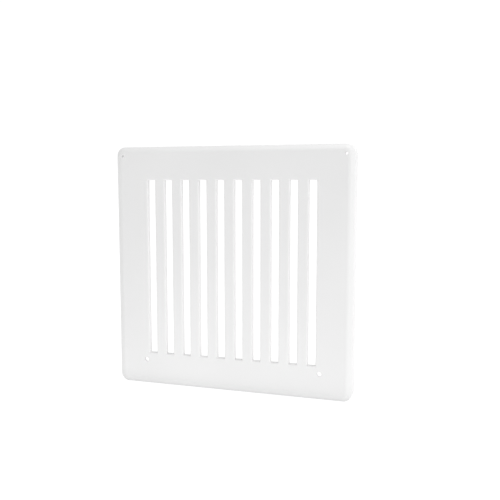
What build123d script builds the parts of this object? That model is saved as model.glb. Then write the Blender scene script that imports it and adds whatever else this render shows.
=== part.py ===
from build123d import *
import math
import os

# Louvred air grille: a square bevelled front with upright bars, hung on a wall hanger along its top edge
# and held shut by two screws through its bottom margin.
# Millimetres. X right and Z up, seen from the room; -Y points into the room.
# The origin is the centre of the closed grille's outer box; the wall plane is half the depth behind it.

# Front plate
side = 225.0
depth = 15.0
sheet = 2.0
corner_radius = 8.0
bevel_width = 4.7
bevel_depth = 3.0
bevel_crest_radius = 5.0
rim_edge_radius = 1.2
least_corner_radius = 0.5

# Slots and bars
bar_count = 9
pitch = 17.0
slot_width = 7.2
slot_length = 163.4
bar_depth = 4.0
edge_radius = 1.3
window_flange = 1.2

# Clamping of the bars behind the face
landing_height = 12.0
tongue_width = 6.0
tongue_thickness = 1.5
tongue_overlap = 6.0
tongue_reach = 10.0
rail_thickness = 2.0
rail_gap = 2.0
rivet_hole_radius = 1.60
rivet_radius = 1.55
rivet_head_radius = 2.7
rivet_head_height = 1.5
bar_rivet_bite = 2.4

# Screw holes in the bottom margin
screw_hole_radius = 2.0
screw_hole_spacing = 167.2
screw_hole_drop = 88.8

# Small open holes in the top corners, by which the front hung while it was coated
jig_hole_radius = 1.2
jig_hole_reach = 105.2
jig_hole_height = 104.2

# Wall hanger and hooks
rod_radius = 2.0
rod_length = 199.0
rod_height = 105.5
rod_fit = 0.02
rod_chamfer = 0.3
hook_fit = 0.05
hook_thickness = 1.2
hook_width = 12.0
hook_centre = 88.0
hook_foot = 84.0
hook_lip = 1.0
hook_rivet_heights = (89.0, 97.0)
hook_rivet_bite = 1.2
ear_thickness = 2.0
ear_gap = 1.5
ear_nose_radius = 3.05
ear_front_gap = 0.8
ear_nose_flat = 0.5
ear_chin = 1.5
ear_shoulder_drop = 3.0
hanger_length = 195.0
hanger_foot = 87.0
hanger_top = 100.0
hanger_thickness = 1.5
hanger_hole_radius = 2.5
hanger_hole_spacing = 120.0
cap_radius = 3.0
cap_length = 1.5
swing_relief = 3.2
swing_relief_height = 105.0

# How far a cutting block runs past the surface that it opens, and how deep a joined block bites
overshoot = 1.0
overlap = 0.5

# Worked out from the sizes above
face_y = -depth / 2
wall_y = depth / 2
sheet_back_y = face_y + sheet
bar_back_y = face_y + bar_depth
slot_count = bar_count + 1
bar_width = pitch - slot_width
half_slot = slot_length / 2
field_width = bar_count * pitch + slot_width
tongue_back_y = bar_back_y + tongue_thickness
rail_back_y = tongue_back_y + rail_thickness
bar_rivet_height = half_slot + tongue_reach / 2
rod_y = sheet_back_y + hook_thickness + hook_fit + rod_radius
ear_offset = hook_width / 2 + ear_gap + ear_thickness / 2


def block(x_range, y_range, z_range):
    """A box from its limits along X, Y and Z."""
    size = [high - low for low, high in (x_range, y_range, z_range)]
    centre = [(high + low) / 2 for low, high in (x_range, y_range, z_range)]
    return Pos(*centre) * Box(*size)


def square_at(y, width, radius):
    """A rounded square in the upright plane at this y, facing the room."""
    return Plane.XZ.offset(-y) * RectangleRounded(width, width, radius)


def rod_along_y(x, z, radius, y_back, y_front):
    """A round bar that runs towards the room, from y_back to y_front."""
    return extrude(Plane.XZ.offset(-y_back) * Pos(x, z) * Circle(radius), y_back - y_front)


def rod_along_x(x_start, x_end, y, z, radius):
    """A round bar along the hinge line's direction."""
    return extrude(Plane.YZ.offset(x_start) * Pos(y, z) * Circle(radius), x_end - x_start)


def bevelled_body(y_back, y_shoulder, y_face, width, radius, bevel):
    """A square prism with a sloping edge round its front."""
    prism = extrude(square_at(y_back, width, radius), y_back - y_shoulder)
    crown_radius = max(radius - bevel, least_corner_radius)
    shoulder = square_at(y_shoulder, width, radius)
    crown = square_at(y_face, width - 2 * bevel, crown_radius)
    return prism + loft(Sketch() + [shoulder, crown], ruled=True)


def edges_in_plane(solid, y, reach=None):
    """The edges that lie wholly at this y, and within reach of the middle if it is given."""
    found = solid.edges().filter_by_position(Axis.Y, y - 0.01, y + 0.01)
    if reach is None:
        return found
    return found.filter_by(lambda edge: abs(edge.center().X) < reach and abs(edge.center().Z) < reach)


def slot_x(index):
    """The middle of a slot, counted from the left."""
    return (index - (slot_count - 1) / 2) * pitch


def bar_x(index):
    """The middle of a bar, counted from the left."""
    return (index - (bar_count - 1) / 2) * pitch


def pressed_face():
    """The whole face before its bars are parted from it: bevel, rim, window flange and rounded slots."""
    shoulder_y = face_y + bevel_depth
    outer = bevelled_body(wall_y, shoulder_y, face_y, side, corner_radius, bevel_width)
    outer = fillet(edges_in_plane(outer, face_y), bevel_crest_radius)
    outer = fillet(edges_in_plane(outer, shoulder_y), rim_edge_radius)

    slope = math.hypot(bevel_width, bevel_depth)
    steepness = bevel_depth / bevel_width
    inner_side = side - 2 * sheet
    inner_shoulder_y = shoulder_y + sheet * (slope - bevel_depth) / bevel_width
    inner_bevel = (inner_shoulder_y - sheet_back_y) / steepness
    hollow = bevelled_body(
        wall_y, inner_shoulder_y, sheet_back_y, inner_side, corner_radius - sheet, inner_bevel
    )
    shell = outer - hollow

    flange_reach = field_width / 2 + window_flange
    landing_reach = half_slot + landing_height
    shell += block(
        (-flange_reach, flange_reach), (sheet_back_y - overlap, bar_back_y), (-landing_reach, landing_reach)
    )
    for index in range(slot_count):
        middle = slot_x(index)
        shell -= block(
            (middle - slot_width / 2, middle + slot_width / 2),
            (face_y - overshoot, wall_y + overshoot),
            (-half_slot, half_slot),
        )
    slot_rims = edges_in_plane(shell, face_y, reach=half_slot + overlap)
    return fillet(slot_rims, edge_radius)


def bar_space(index):
    """The part of the face that belongs to one bar."""
    middle = bar_x(index)
    return block(
        (middle - bar_width / 2, middle + bar_width / 2),
        (face_y - overshoot, bar_back_y + overshoot),
        (-half_slot, half_slot),
    )


def make_front_frame(face):
    """The bevelled frame round the bars, with its screw, coating and blind rivet holes."""
    frame = face
    for index in range(bar_count):
        frame -= bar_space(index)
        for end in (-1, 1):
            frame -= rod_along_y(
                bar_x(index),
                end * bar_rivet_height,
                rivet_hole_radius,
                bar_back_y,
                bar_back_y - bar_rivet_bite,
            )
    for hand in (-1, 1):
        frame -= rod_along_y(
            hand * screw_hole_spacing / 2, -screw_hole_drop, screw_hole_radius, wall_y, face_y - overshoot
        )
        frame -= rod_along_y(
            hand * jig_hole_reach, jig_hole_height, jig_hole_radius, wall_y, face_y - overshoot
        )
        for height in hook_rivet_heights:
            frame -= rod_along_y(
                hand * hook_centre,
                height,
                rivet_hole_radius,
                sheet_back_y,
                sheet_back_y - hook_rivet_bite,
            )
    # The top of the rim stops short of the wall, so that it can turn about the rod.
    frame -= block((-side, side), (wall_y - swing_relief, wall_y + overshoot), (swing_relief_height, side))
    return frame


def make_bar(face, index):
    """One upright bar, with a tongue at each end that lies on the frame's landing."""
    middle = bar_x(index)
    bar = face & bar_space(index)
    for end in (-1, 1):
        span = sorted((end * (half_slot - tongue_overlap), end * (half_slot + tongue_reach)))
        tongue = block(
            (middle - tongue_width / 2, middle + tongue_width / 2), (bar_back_y, tongue_back_y), span
        )
        bar += tongue
        bar -= rod_along_y(middle, end * bar_rivet_height, rivet_hole_radius, tongue_back_y, bar_back_y)
    return bar


def make_clamp_rail(end):
    """The strip behind the bars' tongues, at the top (1) or at the bottom (-1)."""
    reach = field_width / 2
    span = sorted((end * (half_slot + rail_gap), end * (half_slot + tongue_reach)))
    rail = block((-reach, reach), (tongue_back_y, rail_back_y), span)
    for index in range(bar_count):
        rail -= rod_along_y(
            bar_x(index), end * bar_rivet_height, rivet_hole_radius, rail_back_y, tongue_back_y
        )
    return rail


def rivet(x, z, y_seat, y_tip):
    """A dome-headed rivet: the head on y_seat, the shank going towards the room to y_tip."""
    shank = rod_along_y(x, z, rivet_radius, y_seat, y_tip)
    sphere_radius = (rivet_head_radius**2 + rivet_head_height**2) / (2 * rivet_head_height)
    dome = Pos(x, y_seat + rivet_head_height - sphere_radius, z) * Sphere(sphere_radius)
    reach = rivet_head_radius + overshoot
    keep = block(
        (x - reach, x + reach), (y_seat, y_seat + rivet_head_height + overshoot), (z - reach, z + reach)
    )
    return shank + (dome & keep)


def make_bar_rivets():
    """Two rivets for each bar."""
    rivets = [
        rivet(bar_x(index), end * bar_rivet_height, rail_back_y, bar_back_y - bar_rivet_bite)
        for index in range(bar_count)
        for end in (-1, 1)
    ]
    return Compound(children=rivets)


def make_hook(hand):
    """A strip bent over the rod, open downwards, with a leg flat on the back of the face."""
    inner = rod_radius + hook_fit
    outer = inner + hook_thickness
    centre = Pos(rod_y, rod_height)
    bend = centre * (Circle(outer) - Circle(inner))
    bend &= Pos(rod_y, rod_height + outer) * Rectangle(4 * outer, 2 * outer)
    leg_height = rod_height - hook_foot
    leg = Pos(rod_y - (inner + outer) / 2, rod_height - leg_height / 2) * Rectangle(
        hook_thickness, leg_height
    )
    lip = Pos(rod_y + (inner + outer) / 2, rod_height - hook_lip / 2) * Rectangle(
        hook_thickness, hook_lip
    )
    start = hand * hook_centre - hook_width / 2
    hook = extrude(Plane.YZ.offset(start) * (bend + leg + lip), hook_width)
    for height in hook_rivet_heights:
        hook -= rod_along_y(
            hand * hook_centre, height, rivet_hole_radius, sheet_back_y + hook_thickness, sheet_back_y
        )
    return hook


def make_hook_rivets():
    """Two rivets through each hook's leg."""
    seat = sheet_back_y + hook_thickness
    rivets = [
        rivet(hand * hook_centre, height, seat, sheet_back_y - hook_rivet_bite)
        for hand in (-1, 1)
        for height in hook_rivet_heights
    ]
    return Compound(children=rivets)


def ear_profile():
    """The side view of an ear: it rises from the hanger's strip to a round nose about the rod."""
    strip_y = wall_y - hanger_thickness
    front_y = sheet_back_y + ear_front_gap
    outline = Polyline(
        (strip_y, hanger_foot),
        (strip_y, hanger_top),
        (rod_y + ear_nose_radius, rod_height - ear_nose_flat),
        (rod_y + ear_nose_radius, rod_height),
        (rod_y, rod_height),
        (front_y, rod_height - ear_chin),
        (front_y, hanger_top - ear_shoulder_drop),
        close=True,
    )
    nose = Pos(rod_y, rod_height) * Circle(ear_nose_radius)
    return make_face(outline) + nose


def make_wall_hanger():
    """The strip that is screwed to the wall, with four ears that hold the rod."""
    hanger = block(
        (-hanger_length / 2, hanger_length / 2),
        (wall_y - hanger_thickness, wall_y),
        (hanger_foot, hanger_top),
    )
    for hand in (-1, 1):
        for step in (-1, 1):
            middle = hand * hook_centre + step * ear_offset
            hanger += extrude(Plane.YZ.offset(middle - ear_thickness / 2) * ear_profile(), ear_thickness)
        hanger -= rod_along_y(
            hand * hanger_hole_spacing / 2,
            (hanger_foot + hanger_top) / 2,
            hanger_hole_radius,
            wall_y,
            wall_y - hanger_thickness,
        )
    reach = rod_length / 2
    return hanger - rod_along_x(-reach, reach, rod_y, rod_height, rod_radius + rod_fit)


def make_hinge_rod():
    """The wire rod that the hooks hang on."""
    reach = rod_length / 2
    rod = rod_along_x(-reach, reach, rod_y, rod_height, rod_radius)
    return chamfer(rod.edges(), rod_chamfer)


def make_rod_cap(hand):
    """A push-on cap that keeps the rod from sliding out of its ears."""
    start = hook_centre + ear_offset + ear_thickness / 2
    span = sorted((hand * start, hand * (start + cap_length)))
    cap = rod_along_x(span[0], span[1], rod_y, rod_height, cap_radius)
    return cap - rod_along_x(span[0], span[1], rod_y, rod_height, rod_radius + rod_fit)


def build_parts():
    """Every piece by its node name."""
    face = pressed_face()
    parts = {"front_frame": make_front_frame(face)}
    for index in range(bar_count):
        parts[f"louvre_bar_{index + 1}"] = make_bar(face, index)
    parts["clamp_rail_top"] = make_clamp_rail(1)
    parts["clamp_rail_bottom"] = make_clamp_rail(-1)
    parts["bar_rivets"] = make_bar_rivets()
    parts["hook_left"] = make_hook(-1)
    parts["hook_right"] = make_hook(1)
    parts["hook_rivets"] = make_hook_rivets()
    parts["wall_hanger"] = make_wall_hanger()
    parts["hinge_rod"] = make_hinge_rod()
    parts["rod_cap_left"] = make_rod_cap(-1)
    parts["rod_cap_right"] = make_rod_cap(1)
    return parts


os.makedirs("parts", exist_ok=True)
for name, shape in build_parts().items():
    export_step(shape, f"parts/{name}.step")
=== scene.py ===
import math
import random

import bmesh
import bpy
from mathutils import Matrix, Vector


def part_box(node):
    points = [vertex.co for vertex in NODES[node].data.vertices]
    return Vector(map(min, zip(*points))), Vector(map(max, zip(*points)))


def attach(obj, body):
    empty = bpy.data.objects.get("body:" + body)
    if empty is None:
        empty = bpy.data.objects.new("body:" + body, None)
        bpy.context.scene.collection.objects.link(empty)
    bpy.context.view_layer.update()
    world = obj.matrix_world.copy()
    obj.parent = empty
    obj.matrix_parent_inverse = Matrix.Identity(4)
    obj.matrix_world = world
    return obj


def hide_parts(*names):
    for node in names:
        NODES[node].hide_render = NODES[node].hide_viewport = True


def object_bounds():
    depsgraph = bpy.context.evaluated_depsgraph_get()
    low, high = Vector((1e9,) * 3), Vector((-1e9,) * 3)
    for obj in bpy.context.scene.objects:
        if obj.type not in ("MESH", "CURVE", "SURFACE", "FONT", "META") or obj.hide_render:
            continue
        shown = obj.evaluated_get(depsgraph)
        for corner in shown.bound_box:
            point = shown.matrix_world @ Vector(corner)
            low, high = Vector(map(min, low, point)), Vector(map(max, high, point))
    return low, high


# A louvred air grille: a white coated front with upright bars, hung by two hooks on a rod, and the
# zinc-plated strip that holds the rod on the wall. Lengths are in metres and angles in degrees.
# +X is right and +Z up, seen from the room. The room is on the -Y side, and the wall on the +Y side.

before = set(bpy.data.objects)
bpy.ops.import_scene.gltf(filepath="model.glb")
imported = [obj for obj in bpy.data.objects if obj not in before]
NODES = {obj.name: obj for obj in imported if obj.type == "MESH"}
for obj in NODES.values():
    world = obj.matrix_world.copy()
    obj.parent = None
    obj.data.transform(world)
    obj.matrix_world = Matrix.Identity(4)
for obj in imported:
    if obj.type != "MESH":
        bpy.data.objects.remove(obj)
cad_low, cad_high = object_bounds()
BARS = sorted(name for name in NODES if name.startswith("louvre_bar_"))
RAILS = ("clamp_rail_top", "clamp_rail_bottom")
HOOKS = ("hook_left", "hook_right")
CAPS = ("rod_cap_left", "rod_cap_right")

MM = 0.001
WIDTH = cad_high.x - cad_low.x
FACE_Y = cad_low.y
WALL_Y = cad_high.y
FLOOR_Z = cad_low.z


# ---------------------------------------------------------------- node helpers

# Nearly all of a noise's values lie between these two
NOISE_LOW, NOISE_HIGH = 0.3, 0.7


def node(owner, kind, **inputs):
    """A new node with some of its input values set by name."""
    made = owner.node_tree.nodes.new(kind)
    for key, value in inputs.items():
        made.inputs[key.replace("_", " ")].default_value = value
    return made


def link(owner, source, target):
    owner.node_tree.links.new(source, target)


def put(owner, value, socket):
    """Gives a socket a plain number, or links a node's output to it."""
    if isinstance(value, (int, float)):
        socket.default_value = value
    else:
        link(owner, value, socket)


def remap(owner, value, start, end, low, high, ease="LINEAR"):
    """Maps a value from start..end onto low..high, and holds it there."""
    made = node(owner, "ShaderNodeMapRange", From_Min=start, From_Max=end, To_Min=low, To_Max=high)
    made.interpolation_type = ease
    link(owner, value, made.inputs["Value"])
    return made.outputs["Result"]


def calculate(owner, operation, *values):
    """One sum of numbers and nodes' outputs."""
    made = node(owner, "ShaderNodeMath")
    made.operation = operation
    for socket, value in zip(made.inputs, values):
        put(owner, value, socket)
    return made.outputs["Value"]


def mix_value(owner, share, first, second):
    """First where share is 0 and second where it is 1; each may be a number or a node's output."""
    made = node(owner, "ShaderNodeMix")
    made.data_type = "FLOAT"
    link(owner, share, made.inputs["Factor"])
    put(owner, first, made.inputs["A"])
    put(owner, second, made.inputs["B"])
    return made.outputs["Result"]


def mix_colour(owner, share, first, second):
    """First where share is 0 and second where it is 1; both are nodes' outputs."""
    made = node(owner, "ShaderNodeMix")
    made.data_type = "RGBA"
    link(owner, share, made.inputs["Factor"])
    link(owner, first, made.inputs["A"])
    link(owner, second, made.inputs["B"])
    return made.outputs["Result"]


def split_vector(owner, vector):
    """A vector's X, Y and Z, by name."""
    made = node(owner, "ShaderNodeSeparateXYZ")
    link(owner, vector, made.inputs["Vector"])
    return made.outputs


def place(owner, stretch=None):
    """The point on the piece in the frame above; stretch gives a scale for each axis."""
    coordinates = node(owner, "ShaderNodeTexCoord").outputs["Object"]
    if stretch is None:
        return coordinates
    mapping = node(owner, "ShaderNodeMapping", Scale=stretch)
    link(owner, coordinates, mapping.inputs["Vector"])
    return mapping.outputs["Vector"]


def noise(owner, scale=1.0, detail=2.0, stretch=None):
    """A cloudy value between 0 and 1, with about scale clouds to a metre."""
    made = node(owner, "ShaderNodeTexNoise", Scale=scale, Detail=detail)
    link(owner, place(owner, stretch), made.inputs["Vector"])
    return made.outputs["Fac"]


def cells(owner, scale):
    """A random value for each cell of a crystal pattern, with about scale cells to a metre."""
    made = node(owner, "ShaderNodeTexVoronoi", Scale=scale)
    link(owner, place(owner), made.inputs["Vector"])
    split = node(owner, "ShaderNodeSeparateColor")
    link(owner, made.outputs["Color"], split.inputs["Color"])
    return split.outputs["Red"]


def spread(owner, value, low, high):
    """Maps the busy middle of a noise onto low..high."""
    return remap(owner, value, NOISE_LOW, NOISE_HIGH, low, high)


def tint(owner, value, dark, light):
    """A colour between dark and light, chosen by a noise."""
    ramp = node(owner, "ShaderNodeValToRGB")
    stops = ((NOISE_LOW, dark), (NOISE_HIGH, light))
    for element, (position, colour) in zip(ramp.color_ramp.elements, stops):
        element.position = position
        element.color = (*colour, 1.0)
    link(owner, value, ramp.inputs["Fac"])
    return ramp.outputs["Color"]


# ---------------------------------------------------------------- materials

COAT_IOR = 1.5
# How far a surface's own direction points to the wall where its back finish starts, and where it is whole
BACK_START, BACK_WHOLE = 0.4, 0.8


def new_material(name, base, roughness, metallic=0.0):
    """A Principled material with its average colour and roughness, which its textures then vary."""
    material = bpy.data.materials.new(name)
    material.use_nodes = True
    shader = material.node_tree.nodes["Principled BSDF"]
    shader.inputs["Base Color"].default_value = (*base, 1.0)
    shader.inputs["Roughness"].default_value = roughness
    shader.inputs["Metallic"].default_value = metallic
    return material, shader


def bump(material, shader, heights):
    """Stacks bumps, each a height value with its depth in metres, into the shader's normal."""
    below = None
    for value, depth in heights:
        made = node(material, "ShaderNodeBump", Strength=1.0, Distance=depth)
        link(material, value, made.inputs["Height"])
        if below is not None:
            link(material, below, made.inputs["Normal"])
        below = made.outputs["Normal"]
    link(material, below, shader.inputs["Normal"])


def faces_wall(material):
    """1 on the surfaces that face the wall, 0 elsewhere, whichever way the front has swung."""
    normal = node(material, "ShaderNodeTexCoord").outputs["Normal"]
    return remap(material, split_vector(material, normal)["Y"], BACK_START, BACK_WHOLE, 0.0, 1.0)


def powder_coat():
    """Smooth satin white with a faint orange peel, thinner and grainier on the back."""
    material, shader = new_material("powder_coat_white", (0.775, 0.775, 0.775), 0.36)
    shader.inputs["IOR"].default_value = COAT_IOR
    back = faces_wall(material)
    cloud = noise(material, scale=14.0)
    front_tone = tint(material, cloud, dark=(0.765, 0.765, 0.765), light=(0.785, 0.785, 0.785))
    specks = noise(material, scale=900.0, detail=4.0)
    back_tone = tint(material, specks, dark=(0.60, 0.60, 0.605), light=(0.76, 0.76, 0.76))
    link(material, mix_colour(material, back, front_tone, back_tone), shader.inputs["Base Color"])
    gloss = spread(material, noise(material, scale=220.0, detail=3.0), low=0.32, high=0.40)
    dry = spread(material, noise(material, scale=60.0, detail=3.0), low=0.50, high=0.66)
    link(material, mix_value(material, back, gloss, dry), shader.inputs["Roughness"])
    peel = noise(material, scale=700.0, detail=1.5)
    grain = noise(material, scale=3500.0)
    bump(material, shader, [(peel, 0.012 * MM), (grain, 0.003 * MM)])
    return material


def zinc_plate():
    """Zinc-plated sheet: faint crystals, rolling lines along X and small scuffs."""
    material, shader = new_material("zinc_plated_sheet", (0.60, 0.62, 0.64), 0.38, metallic=1.0)
    crystals = tint(material, cells(material, scale=260.0), dark=(0.50, 0.52, 0.55), light=(0.66, 0.68, 0.70))
    haze = noise(material, scale=45.0, detail=3.0)
    cloud = tint(material, haze, dark=(0.56, 0.58, 0.60), light=(0.67, 0.67, 0.66))
    share = spread(material, noise(material, scale=90.0), low=0.3, high=0.7)
    link(material, mix_colour(material, share, crystals, cloud), shader.inputs["Base Color"])
    dullness = spread(material, noise(material, scale=120.0, detail=4.0), low=0.30, high=0.52)
    link(material, dullness, shader.inputs["Roughness"])
    lines = noise(material, stretch=(60.0, 2500.0, 2500.0))
    scuffs = noise(material, detail=3.0, stretch=(900.0, 300.0, 120.0))
    bump(material, shader, [(lines, 0.006 * MM), (scuffs, 0.006 * MM)])
    return material


def drawn_wire():
    """Bright steel wire with fine die lines along its length."""
    material, shader = new_material("drawn_wire", (0.66, 0.67, 0.68), 0.26, metallic=1.0)
    lines = noise(material, detail=3.0, stretch=(25.0, 3200.0, 3200.0))
    steel = tint(material, lines, dark=(0.56, 0.57, 0.58), light=(0.72, 0.73, 0.74))
    link(material, steel, shader.inputs["Base Color"])
    dullness = spread(material, noise(material, scale=150.0, detail=3.0), low=0.20, high=0.36)
    link(material, dullness, shader.inputs["Roughness"])
    bump(material, shader, [(lines, 0.005 * MM)])
    return material


def satin_aluminium():
    """The rivets' heads: soft grey metal, finely mottled."""
    material, shader = new_material("satin_aluminium", (0.75, 0.76, 0.77), 0.34, metallic=1.0)
    cloud = noise(material, scale=400.0, detail=3.0)
    metal = tint(material, cloud, dark=(0.68, 0.69, 0.70), light=(0.79, 0.80, 0.81))
    link(material, metal, shader.inputs["Base Color"])
    dullness = spread(material, noise(material, scale=1500.0, detail=3.0), low=0.28, high=0.44)
    link(material, dullness, shader.inputs["Roughness"])
    bump(material, shader, [(noise(material, scale=2500.0), 0.004 * MM)])
    return material


def mandrel_steel():
    """The dark broken end of a blind rivet's pin."""
    material, shader = new_material("mandrel_steel", (0.34, 0.34, 0.35), 0.5, metallic=1.0)
    crumble = noise(material, scale=4000.0, detail=4.0)
    steel = tint(material, crumble, dark=(0.22, 0.22, 0.23), light=(0.44, 0.44, 0.45))
    link(material, steel, shader.inputs["Base Color"])
    link(material, spread(material, crumble, low=0.38, high=0.62), shader.inputs["Roughness"])
    bump(material, shader, [(crumble, 0.03 * MM)])
    return material


def matt_nylon():
    """The rod's caps: dark moulded plastic with a fine grain."""
    material, shader = new_material("matt_nylon", (0.14, 0.14, 0.15), 0.55)
    shade = noise(material, scale=500.0, detail=3.0)
    plastic = tint(material, shade, dark=(0.12, 0.12, 0.13), light=(0.17, 0.17, 0.18))
    link(material, plastic, shader.inputs["Base Color"])
    dullness = spread(material, noise(material, scale=900.0), low=0.46, high=0.64)
    link(material, dullness, shader.inputs["Roughness"])
    bump(material, shader, [(noise(material, scale=2600.0), 0.01 * MM)])
    return material


COAT = powder_coat()
ZINC = zinc_plate()
WIRE = drawn_wire()
ALUMINIUM = satin_aluminium()
MANDREL = mandrel_steel()
NYLON = matt_nylon()


# ---------------------------------------------------------------- mesh helpers

MERGE_DISTANCE = 0.01 * MM
FLAT_ANGLE = 1.0
SHARP_ANGLE = 35.0
EDGE_SEGMENTS = 3
ALONG_X, ALONG_Y = 0, 1
# Only points at least this share of the widest radius are fluted
FLUTED_SHARE = 0.9


def new_piece(name, shape, body, materials, replaced):
    """Makes the object from a bmesh, ties it to its body, and hides the CAD node that it replaces, if any.

    Faces that meet at a sharp angle keep a hard edge, and flat faces are shaded flat.
    """
    bmesh.ops.recalc_face_normals(shape, faces=shape.faces)
    mesh = bpy.data.meshes.new(name)
    shape.to_mesh(mesh)
    shape.free()
    for material in materials:
        mesh.materials.append(material)
    mesh.polygons.foreach_set("use_smooth", [True] * len(mesh.polygons))
    mesh.set_sharp_from_angle(angle=math.radians(SHARP_ANGLE))
    piece = bpy.data.objects.new(name, mesh)
    bpy.context.scene.collection.objects.link(piece)
    piece.modifiers.new("flat_faces", "WEIGHTED_NORMAL").keep_sharp = True
    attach(piece, body)
    if replaced:
        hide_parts(replaced)
    return piece


def softened_copy(name, radius):
    """A CAD node's shape with its flat faces made whole and its sharp edges rounded."""
    shape = bmesh.new()
    shape.from_mesh(NODES[name].data)
    bmesh.ops.remove_doubles(shape, verts=shape.verts, dist=MERGE_DISTANCE)
    flat = math.radians(FLAT_ANGLE)
    bmesh.ops.dissolve_limit(shape, angle_limit=flat, verts=shape.verts, edges=shape.edges)
    sharp = [
        edge
        for edge in shape.edges
        if len(edge.link_faces) == 2 and edge.calc_face_angle() > math.radians(SHARP_ANGLE)
    ]
    bmesh.ops.bevel(
        shape,
        geom=sharp,
        offset=radius,
        segments=EDGE_SEGMENTS,
        profile=0.5,
        affect="EDGES",
        clamp_overlap=True,
    )
    return shape


def arc(middle, radius, start, end, steps=6):
    """Points of a round corner in a lathe profile; 0 degrees is outwards and 90 is along the axis."""
    angles = [math.radians(start + (end - start) * step / steps) for step in range(steps + 1)]
    return [(middle[0] + radius * math.cos(a), middle[1] + radius * math.sin(a)) for a in angles]


def lathe(shape, profile, middle, axis, steps, closed=False, flutes=0, flute_depth=0.0, tinted_from=None):
    """Turns a profile of (radius, distance along the axis) about an axis through middle.

    A closed profile joins its last point to its first. Flutes cut shallow waves into the widest part.
    From the profile point tinted_from on, the faces take the second material.
    """
    widest = max(radius for radius, _ in profile)
    rings = []
    for radius, along in profile:
        ring = []
        for step in range(steps if radius > 0 else 1):
            angle = 2 * math.pi * step / steps
            fluted = radius > FLUTED_SHARE * widest
            wave = flute_depth * (1 - math.cos(flutes * angle)) / 2 if fluted else 0.0
            out, up = (radius - wave) * math.cos(angle), (radius - wave) * math.sin(angle)
            offset = (along, out, up) if axis == ALONG_X else (out, along, up)
            ring.append(shape.verts.new(Vector(middle) + Vector(offset)))
        rings.append(ring)
    pairs = list(zip(rings, rings[1:]))
    if closed:
        pairs.append((rings[-1], rings[0]))
    for index, (first, second) in enumerate(pairs):
        for step in range(steps):
            following = (step + 1) % steps
            corners = [first[step % len(first)], first[following % len(first)]]
            corners += [second[following % len(second)], second[step % len(second)]]
            face = shape.faces.new(list(dict.fromkeys(corners)))
            if tinted_from is not None and index >= tinted_from:
                face.material_index = 1


# ---------------------------------------------------------------- rails, hooks and wall strip

RAIL_EDGE = 0.35 * MM
HOOK_EDGE = 0.3 * MM
STRIP_EDGE = 0.35 * MM
STRIP_THICKNESS = 1.5 * MM
STRIP_HEIGHT = 13.0 * MM
EAR_THICKNESS = 2.0 * MM

# Weld beads: how much of the radius comes and goes with each ripple, and what is left of it at the two ends
BEAD_RADIUS = 0.9 * MM
BEAD_RIPPLE = 1.1 * MM
BEAD_END_GAP = 1.2 * MM
BEAD_SWELL = 0.18
BEAD_TIP = 0.15
BEAD_END_POWER = 8
BEAD_UNEVENNESS = 0.04
BEAD_SIDES = 12
ROWS_PER_RIPPLE = 4


def box_middle(name):
    low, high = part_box(name)
    return (low + high) / 2


def make_rails():
    for name in RAILS:
        new_piece(f"{name}_strip", softened_copy(name, RAIL_EDGE), "grille", [ZINC], name)


def make_hooks():
    for name in HOOKS:
        new_piece(f"{name}_strip", softened_copy(name, HOOK_EDGE), "grille", [ZINC], name)


def bead(shape, start, end):
    """A weld bead straight up from start to end: a tube that swells at each ripple and ends narrow."""
    length = end.z - start.z
    rows = int(length / BEAD_RIPPLE * ROWS_PER_RIPPLE)
    turns = [2 * math.pi * step / BEAD_SIDES for step in range(BEAD_SIDES)]
    rings = []
    for row in range(rows + 1):
        share = row / rows
        swell = 1 - BEAD_SWELL + BEAD_SWELL * abs(math.sin(math.pi * share * length / BEAD_RIPPLE))
        narrowing = math.sqrt(max(0.0, 1 - (2 * share - 1) ** BEAD_END_POWER))
        uneven = random.uniform(1 - BEAD_UNEVENNESS, 1 + BEAD_UNEVENNESS)
        radius = BEAD_RADIUS * swell * max(narrowing, BEAD_TIP) * uneven
        middle = start.lerp(end, share)
        ring = [middle + Vector((math.cos(turn), math.sin(turn), 0)) * radius for turn in turns]
        rings.append([shape.verts.new(point) for point in ring])
    for first, second in zip(rings, rings[1:]):
        for step in range(BEAD_SIDES):
            following = (step + 1) % BEAD_SIDES
            shape.faces.new((first[step], first[following], second[following], second[step]))
    shape.faces.new(list(reversed(rings[0])))
    shape.faces.new(rings[-1])


def make_wall_strip():
    """The strip with its four ears, all in one piece."""
    sheet = softened_copy("wall_hanger", STRIP_EDGE)
    new_piece("wall_hanger_sheet", sheet, "wall_side", [ZINC], "wall_hanger")


def make_ear_welds():
    """Weld beads down the foot of each ear: on both sides of the inner ears, and inside the outer ones."""
    low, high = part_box("wall_hanger")
    strip_front = WALL_Y - STRIP_THICKNESS
    foot, top = low.z + BEAD_END_GAP, low.z + STRIP_HEIGHT - BEAD_END_GAP
    shape = bmesh.new()
    for name in HOOKS:
        hook_x = box_middle(name).x
        outer = high.x if hook_x > 0 else low.x
        for ear_face in (outer, 2 * hook_x - outer):
            inner_face = ear_face + math.copysign(EAR_THICKNESS, hook_x - ear_face)
            is_inner_ear = abs(ear_face) < abs(hook_x)
            for x in (ear_face, inner_face) if is_inner_ear else (inner_face,):
                bead(shape, Vector((x, strip_front, foot)), Vector((x, strip_front, top)))
    new_piece("ear_welds", shape, "wall_side", [ZINC], None)


# ---------------------------------------------------------------- rivets

RIVET_HEAD = 2.7 * MM
RIVET_HEIGHT = 1.5 * MM
RIVET_SHANK = 1.55 * MM
RIVET_RIM = 0.15 * MM
RIVET_STEPS = 32
CROWN_STEPS = 8

# The hole in the head's middle, with its chamfer, and the broken pin in it; depths count from the head's top
HOLE_RADIUS = 0.95 * MM
HOLE_LIP = 0.15 * MM
HOLE_LIP_DEPTH = 0.12 * MM
HOLE_DEPTH = 0.8 * MM
PIN_CLEARANCE = 0.1 * MM
PIN_EDGE_DEPTH = 0.35 * MM
PIN_RIDGE_DEPTH = 0.25 * MM
PIN_RIDGE_SHARE = 0.8
PIN_MIDDLE_DEPTH = 0.3 * MM


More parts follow.
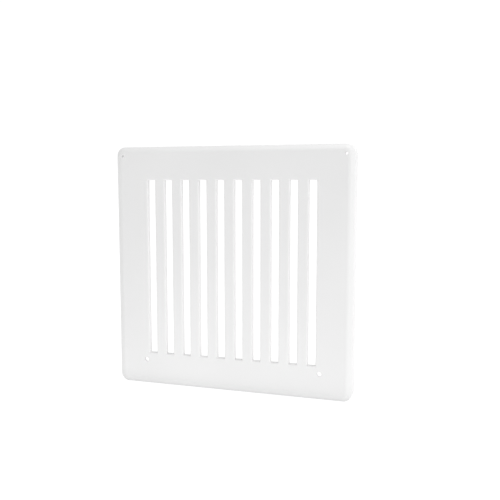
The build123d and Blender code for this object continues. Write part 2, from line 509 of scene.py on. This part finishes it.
def rivet_profile(shank):
    """A blind rivet's outline, from the tip of its shank to the broken pin in its head.

    Distances along the axis count from the rivet's seat. Also gives the point where the pin's part starts.
    """
    points = [(0.0, -shank), (RIVET_SHANK, -shank), (RIVET_SHANK, 0.0)]
    points += arc((RIVET_HEAD - RIVET_RIM, RIVET_RIM), RIVET_RIM, -90, 0, steps=4)
    crown_start = 2 * RIVET_RIM
    for step in range(1, CROWN_STEPS + 1):
        share = step / CROWN_STEPS
        radius = RIVET_HEAD + (HOLE_RADIUS + HOLE_LIP - RIVET_HEAD) * share
        points.append((radius, crown_start + (RIVET_HEIGHT - crown_start) * math.sin(share * math.pi / 2)))
    points += [(HOLE_RADIUS, RIVET_HEIGHT - HOLE_LIP_DEPTH), (HOLE_RADIUS, RIVET_HEIGHT - HOLE_DEPTH)]
    pin_start = len(points) - 1
    pin = HOLE_RADIUS - PIN_CLEARANCE
    points += [
        (pin, RIVET_HEIGHT - HOLE_DEPTH),
        (pin, RIVET_HEIGHT - PIN_EDGE_DEPTH),
        (pin * PIN_RIDGE_SHARE, RIVET_HEIGHT - PIN_RIDGE_DEPTH),
        (0.0, RIVET_HEIGHT - PIN_MIDDLE_DEPTH),
    ]
    return points, pin_start


def make_rivets(node_name, held):
    """Two rivets for each piece in held, one at the top and one at the bottom of the node's box."""
    low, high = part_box(node_name)
    seat_y = high.y - RIVET_HEIGHT
    profile, pin_start = rivet_profile(seat_y - low.y)
    shape = bmesh.new()
    for name in held:
        for z in (low.z + RIVET_HEAD, high.z - RIVET_HEAD):
            seat = Vector((box_middle(name).x, seat_y, z))
            lathe(shape, profile, seat, ALONG_Y, RIVET_STEPS, tinted_from=pin_start)
    name = node_name.replace("rivets", "rivet_heads")
    new_piece(name, shape, "grille", [ALUMINIUM, MANDREL], node_name)


# ---------------------------------------------------------------- rod and caps

ROD_END_RADIUS = 0.4 * MM
ROD_STEPS = 64
CAP_RIM_RADIUS = 0.4 * MM
CAP_CHAMFER = 0.2 * MM
CAP_STEPS = 96
CAP_FLUTES = 16
CAP_FLUTE_DEPTH = 0.12 * MM


def radius_and_reach(name):
    """The radius and the half length of a round node that lies along X."""
    low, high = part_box(name)
    return (high.z - low.z) / 2, (high.x - low.x) / 2


def make_rod():
    """The wire rod, with rounded ends."""
    radius, reach = radius_and_reach("hinge_rod")
    soft = ROD_END_RADIUS
    profile = [(0.0, -reach)] + arc((radius - soft, soft - reach), soft, -90, 0)
    profile += arc((radius - soft, reach - soft), soft, 0, 90) + [(0.0, reach)]
    shape = bmesh.new()
    lathe(shape, profile, box_middle("hinge_rod"), ALONG_X, ROD_STEPS)
    new_piece("hinge_rod_wire", shape, "wall_side", [WIRE], "hinge_rod")


def make_caps():
    """Push-on rings with rounded rims, a chamfered bore and shallow grip flutes."""
    bore, _ = radius_and_reach("hinge_rod")
    soft = CAP_RIM_RADIUS
    for name in CAPS:
        outer, half = radius_and_reach(name)
        profile = [(bore, CAP_CHAMFER - half), (bore + CAP_CHAMFER, -half)]
        profile += arc((outer - soft, soft - half), soft, -90, 0)
        profile += arc((outer - soft, half - soft), soft, 0, 90)
        profile += [(bore + CAP_CHAMFER, half), (bore, half - CAP_CHAMFER)]
        shape = bmesh.new()
        lathe(
            shape,
            profile,
            box_middle(name),
            ALONG_X,
            CAP_STEPS,
            closed=True,
            flutes=CAP_FLUTES,
            flute_depth=CAP_FLUTE_DEPTH,
        )
        new_piece(f"{name}_ring", shape, "wall_side", [NYLON], name)


# ---------------------------------------------------------------- the grille

random.seed(7)

for coated in ["front_frame", *BARS]:
    NODES[coated].data.materials[0] = COAT
make_rails()
make_hooks()
make_wall_strip()
make_ear_welds()
make_rivets("bar_rivets", BARS)
make_rivets("hook_rivets", HOOKS)
make_rod()
make_caps()


# ---------------------------------------------------------------- floor

# The floor reaches this many widths of the grille each way. It is seen at one strength and lights the grille
# at another, which dips just in front of the face's foot: a painted contact shadow in the floor's light.
FLOOR_REACH = 40
FLOOR_BASE = (0.2, 0.2, 0.2)
FLOOR_ROUGHNESS = 0.9
FLOOR_SEEN = 0.9
FLOOR_GLOW = 1.0
CONTACT_SHADOW_GLOW = 0.84
CONTACT_REACH = 3 * MM

# Far to the left the seen floor turns grey, from the first distance to the second, in a wedge that narrows
# by this much for each metre in front of or behind the grille.
SIDE_FLOOR_SEEN = 0.57
SIDE_FLOOR_START, SIDE_FLOOR_END = 0.25, 0.7
SIDE_NARROWING = 1.6

WHITE = (1.0, 1.0, 1.0, 1.0)


def seen_or_lighting(owner, seen, lighting):
    """One strength for what is looked at directly, and another for the light that falls on the grille."""
    path = node(owner, "ShaderNodeLightPath")
    return mix_value(owner, path.outputs["Is Camera Ray"], lighting, seen)


def floor_white():
    """A glowing white whose light has a painted contact shadow along the line where the grille stands, and
    pale grey far to the left.
    """
    material, shader = new_material("floor_white", FLOOR_BASE, FLOOR_ROUGHNESS)
    shader.inputs["Specular IOR Level"].default_value = 0.0
    shader.inputs["Emission Color"].default_value = WHITE
    spot = split_vector(material, place(material))
    # Painted contact shadow: the floor's light is dimmer just in front of the face's foot
    glow = remap(material, spot["Y"], FACE_Y - CONTACT_REACH, FACE_Y, FLOOR_GLOW, CONTACT_SHADOW_GLOW)
    aside = calculate(material, "ABSOLUTE", spot["Y"])
    to_left = calculate(material, "MULTIPLY", spot["X"], -1.0)
    into_wedge = calculate(material, "MULTIPLY_ADD", aside, -SIDE_NARROWING, to_left)
    edges = (SIDE_FLOOR_START, SIDE_FLOOR_END)
    seen = remap(material, into_wedge, *edges, FLOOR_SEEN, SIDE_FLOOR_SEEN, ease="SMOOTHSTEP")
    link(material, seen_or_lighting(material, seen, glow), shader.inputs["Emission Strength"])
    return material


def make_floor():
    """A large plain square under the grille."""
    mesh = bpy.data.meshes.new("floor")
    reach = FLOOR_REACH * WIDTH
    corners = [(x * reach, y * reach, FLOOR_Z) for x, y in ((-1, -1), (1, -1), (1, 1), (-1, 1))]
    mesh.from_pydata(corners, [], [(0, 1, 2, 3)])
    floor = bpy.data.objects.new("floor", mesh)
    bpy.context.scene.collection.objects.link(floor)
    mesh.materials.append(floor_white())


# ---------------------------------------------------------------- room

# How strongly the room shines from each side
ROOM_LEFT = 0.92
ROOM_FRONT = 0.11
ROOM_RIGHT = 1.85
ROOM_TOP = 1.38
ROOM_BACK = 0.62
ROOM_RIGHT_BACK = 1.1

# Where each side starts and ends: the part of a direction that runs along X, Z or Y
LEFT_SIDE = (-1.0, -0.3)
RIGHT_SIDE = (0.2, 1.0)
TOP_SIDE = (0.3, 1.0)
BACK_SIDE = (-0.1, 0.3)
RIGHT_OF_BACK = (-0.5, 0.7)

# How bright the room looks: white, and grey far to the left
ROOM_SEEN = 1.05
SIDE_SEEN = 0.78
SEEN_SIDE = (-0.95, -0.7)


def make_world():
    """A plain white room: bright at the right, at the left and overhead, and dim in front and behind."""
    world = bpy.data.worlds.new("studio")
    world.use_nodes = True
    direction = split_vector(world, node(world, "ShaderNodeTexCoord").outputs["Generated"])
    left = remap(world, direction["X"], *LEFT_SIDE, ROOM_LEFT, ROOM_FRONT)
    right = remap(world, direction["X"], *RIGHT_SIDE, 0.0, 1.0)
    sideways = mix_value(world, right, left, ROOM_RIGHT)
    overhead = remap(world, direction["Z"], *TOP_SIDE, 0.0, 1.0)
    front = mix_value(world, overhead, sideways, ROOM_TOP)
    behind = remap(world, direction["Y"], *BACK_SIDE, 0.0, 1.0)
    back = remap(world, direction["X"], *RIGHT_OF_BACK, ROOM_BACK, ROOM_RIGHT_BACK)
    room = mix_value(world, behind, front, back)
    seen = remap(world, direction["X"], *SEEN_SIDE, SIDE_SEEN, ROOM_SEEN)
    background = world.node_tree.nodes["Background"]
    background.inputs["Color"].default_value = WHITE
    link(world, seen_or_lighting(world, seen, room), background.inputs["Strength"])
    bpy.context.scene.world = world


# ---------------------------------------------------------------- lights and camera

# Each light: where it is, the point that it shines at, the length of its two sides, and its power in watts
LIGHTS = {
    "key_right": ((0.62, -0.16, 0.10), (0.0, 0.0, 0.0), (0.35, 0.6), 0.25),
    "top": ((0.14, FACE_Y - 0.03, 0.40), (0.08, FACE_Y, 0.1), (0.2, 0.06), 0.25),
    "floor_bounce": (
        (0.02, FACE_Y - 0.11, FLOOR_Z + 0.002),
        (0.02, FACE_Y - 0.11, 1.0),
        (0.36, 0.2),
        0.068,
    ),
}

# The camera's place is measured from the middle of the face, in widths of the grille. It looks back across
# the face by its turn, and down by its dip.
CAMERA_LENS = 46.8
CAMERA_SENSOR = 36.0
CAMERA_RIGHT, CAMERA_AWAY, CAMERA_UP = 0.8532, 2.4536, 0.3526
CAMERA_TURN = 17.32
CAMERA_DIP = 5.90


def area_light(name, position, aim, size, power):
    """A soft rectangular light that the camera doesn't see."""
    data = bpy.data.lights.new(name, "AREA")
    data.shape = "RECTANGLE"
    data.size, data.size_y = size
    data.energy = power
    light = bpy.data.objects.new(name, data)
    light.location = position
    light.rotation_mode = "QUATERNION"
    light.rotation_quaternion = (Vector(aim) - Vector(position)).to_track_quat("-Z", "Y")
    light.visible_camera = False
    bpy.context.scene.collection.objects.link(light)


def make_camera():
    """Stands to the right of the grille and a little above its middle, and looks back across its face."""
    data = bpy.data.cameras.new("camera")
    data.sensor_width = CAMERA_SENSOR
    data.lens = CAMERA_LENS
    camera = bpy.data.objects.new("camera", data)
    camera.location = (CAMERA_RIGHT * WIDTH, FACE_Y - CAMERA_AWAY * WIDTH, CAMERA_UP * WIDTH)
    turn, dip = math.radians(CAMERA_TURN), math.radians(CAMERA_DIP)
    forward = Vector((-math.sin(turn) * math.cos(dip), math.cos(turn) * math.cos(dip), -math.sin(dip)))
    camera.rotation_mode = "QUATERNION"
    camera.rotation_quaternion = forward.to_track_quat("-Z", "Y")
    bpy.context.scene.collection.objects.link(camera)
    bpy.context.scene.camera = camera


make_world()
make_floor()
make_camera()
for light_name, settings in LIGHTS.items():
    area_light(light_name, *settings)
bpy.context.scene.view_settings.view_transform = "Standard"
